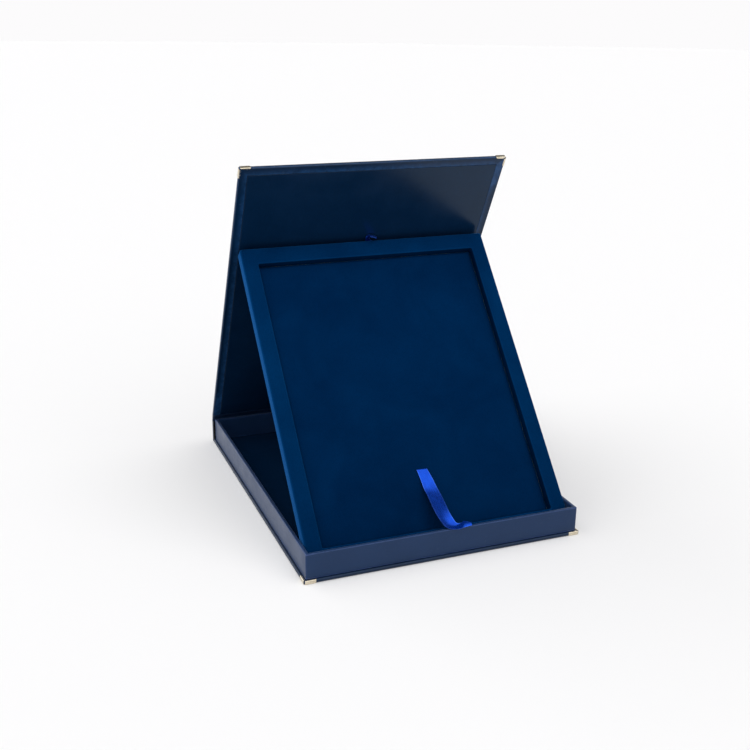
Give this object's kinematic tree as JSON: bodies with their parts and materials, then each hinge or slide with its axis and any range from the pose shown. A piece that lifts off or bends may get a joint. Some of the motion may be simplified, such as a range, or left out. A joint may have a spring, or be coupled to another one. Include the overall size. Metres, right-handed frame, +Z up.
{
  "type": "presentation box",
  "caption": "Hinged, navy-covered archival presentation box standing open as an easel: low tray, lid with brass corners, and a velour panel with a shallow recess and a satin pull ribbon.",
  "frame": {"origin": "On the surface that the box stands on, under the middle of the box's overall size.", "axes": "+X is the box's right seen from the front, +Y runs from the tray's front wall to the spine, +Z is up."},
  "size_m": [0.2464, 0.3082, 0.2995],
  "materials": {
    "leatherette": "navy leatherette covering paper, fine grain, satin sheen",
    "lining": "smooth dark navy lining paper with a soft gloss",
    "velour": "deep blue flocked velour, matt with a soft sheen at the edges",
    "satin": "royal blue satin ribbon",
    "hinge_tape": "navy cloth hinge tape",
    "brass": "pale polished brass plate",
    "greyboard": "grey binder's board, hidden under the coverings"
  },
  "bodies": {
    "base": {"bottom_board": "greyboard", "bottom_cover": "leatherette", "bottom_corner_left": "brass", "bottom_corner_right": "brass", "spine_board": "greyboard", "spine_cover": "leatherette", "hinge_cloth": "leatherette", "tray_front_wall": "greyboard", "tray_back_wall": "greyboard", "tray_left_wall": "greyboard", "tray_right_wall": "greyboard", "tray_wrap": "leatherette", "tray_floor_lining": "lining", "panel_hinge_tape": "hinge_tape"},
    "lid": {"lid_board": "greyboard", "lid_cover": "leatherette", "lid_lining": "lining", "lid_corner_left": "brass", "lid_corner_right": "brass"},
    "panel": {"panel_back_paper": "lining", "panel_back_board": "greyboard", "panel_rail_bottom": "greyboard", "panel_rail_top": "greyboard", "panel_rail_left": "greyboard", "panel_rail_right": "greyboard", "panel_velour_frame": "velour", "recess_pad": "velour", "pull_ribbon": "satin", "lift_tab": "satin"}
  },
  "joints": [
    {"name": "lid_hinge", "type": "hinge", "parent": "base", "child": "lid", "pos_m": [0, 0.1526, 0.0265], "axis": [-1, 0, 0], "range_deg": [0, 120]},
    {"name": "panel_tilt", "type": "hinge", "parent": "base", "child": "panel", "pos_m": [0, -0.1419, 0.0048], "axis": [-1, 0, 0], "range_deg": [0, 48]}
  ],
  "couplings": [
    {"joint": "panel_tilt", "follows": "lid_hinge", "ratio": 0.4}
  ]
}
